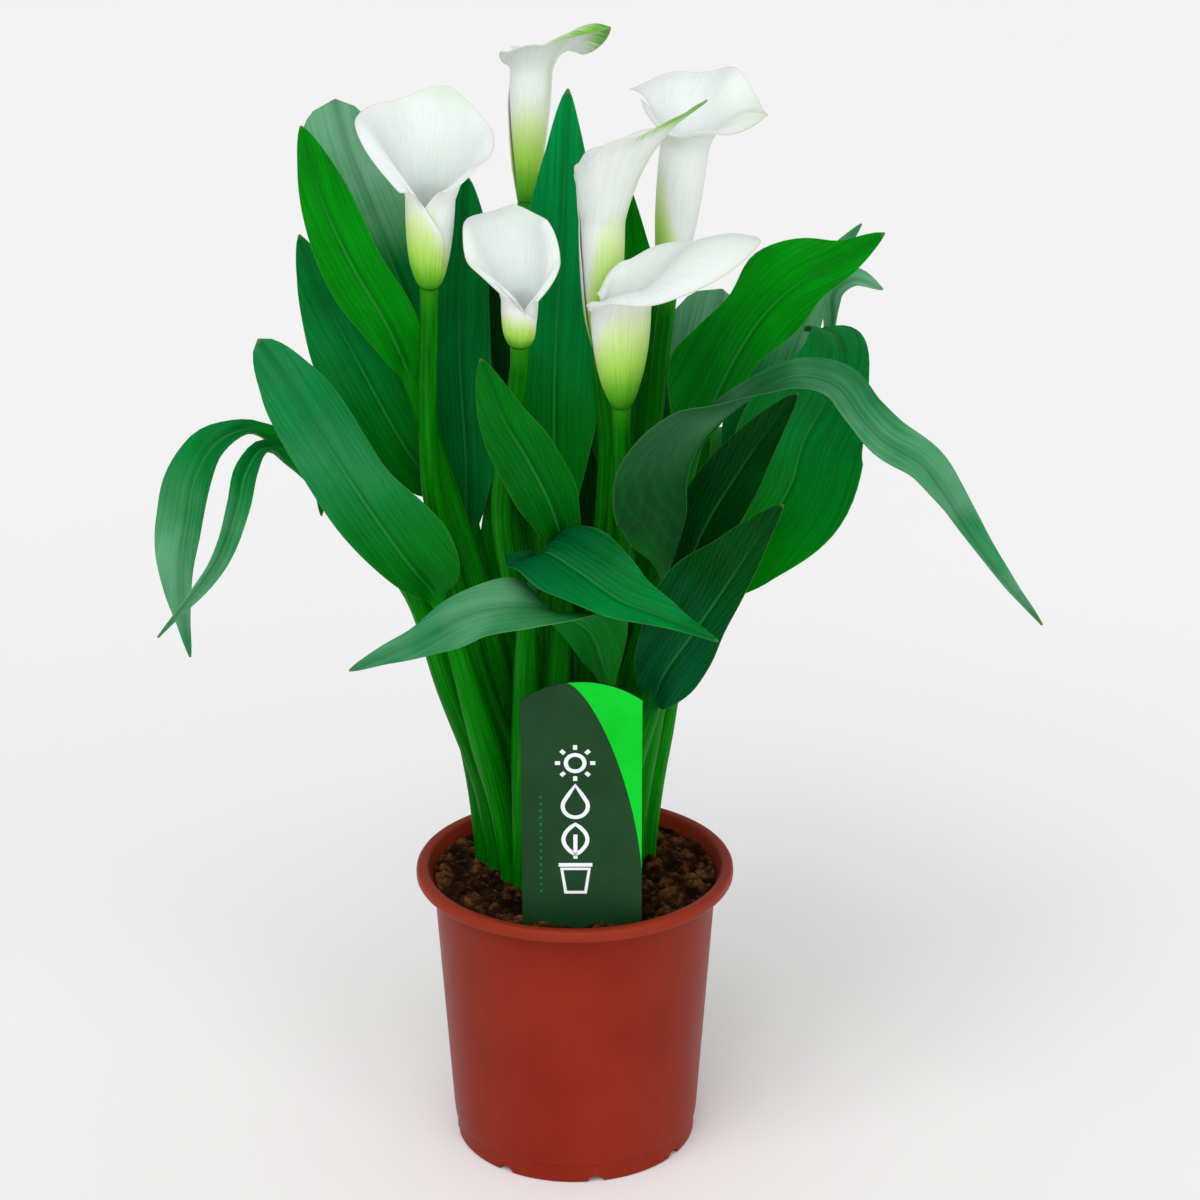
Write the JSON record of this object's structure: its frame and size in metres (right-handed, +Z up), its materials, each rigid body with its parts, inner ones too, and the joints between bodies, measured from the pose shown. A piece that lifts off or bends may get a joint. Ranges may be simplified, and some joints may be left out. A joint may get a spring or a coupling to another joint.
{
  "type": "potted flowering house plant",
  "caption": "Calla lily in a round plastic nursery pot of soil, with long-stalked pointed leaves, white funnel-shaped blooms on green stalks and an upright plant label.",
  "frame": {"origin": "centre of the pot's foot, on the surface that it stands on", "axes": "+Z up along the pot's axis, -Y towards the viewer and the label, +X to the viewer's right"},
  "size_m": [0.3377, 0.2267, 0.4578],
  "materials": {
    "pot": "satin terracotta-coloured plastic, the lip a little lighter",
    "soil": null,
    "label": "smooth printed card, dark green with a bright green area",
    "leaf": null,
    "scape": null,
    "spathe": null,
    "spadix": null
  },
  "bodies": {
    "root": {"pot": "pot", "potting_soil": "soil", "plant_label": "label", "leaf_left_front_broad": "leaf", "leaf_far_left_drooping": "leaf", "leaf_far_left_narrow": "leaf", "leaf_left_behind": "leaf", "leaf_upper_left_bright": "leaf", "leaf_upper_left_back": "leaf", "leaf_upper_left_upright": "leaf", "leaf_low_left_arching": "leaf", "leaf_low_front": "leaf", "leaf_middle_small": "leaf", "leaf_centre_tall": "leaf", "leaf_centre_left": "leaf", "leaf_centre_back": "leaf", "leaf_upper_right_bright": "leaf", "leaf_right_back_round": "leaf", "leaf_right_back_pointed": "leaf", "leaf_right_back_small": "leaf", "leaf_right_arching": "leaf", "leaf_right_broad": "leaf", "leaf_low_right": "leaf", "leaf_right_inner": "leaf", "leaf_centre_dark": "leaf", "leaf_right_inner_back": "leaf", "leaf_inner_left": "leaf", "leaf_inner_right": "leaf", "leaf_back_left_drooping": "leaf", "leaf_back_middle_broad": "leaf", "leaf_back_right_drooping": "leaf", "scape_left_open": "scape", "spathe_left_open": "spathe", "spadix_left_open": "spadix", "scape_top_middle": "scape", "spathe_top_middle": "spathe", "spadix_top_middle": "spadix", "scape_middle_small": "scape", "spathe_middle_small": "spathe", "spadix_middle_small": "spadix", "scape_centre_pointed": "scape", "spathe_centre_pointed": "spathe", "spadix_centre_pointed": "spadix", "scape_top_right": "scape", "spathe_top_right": "spathe", "spadix_top_right": "spadix", "scape_front_right": "scape", "spathe_front_right": "spathe", "spadix_front_right": "spadix"}
  },
  "joints": []
}
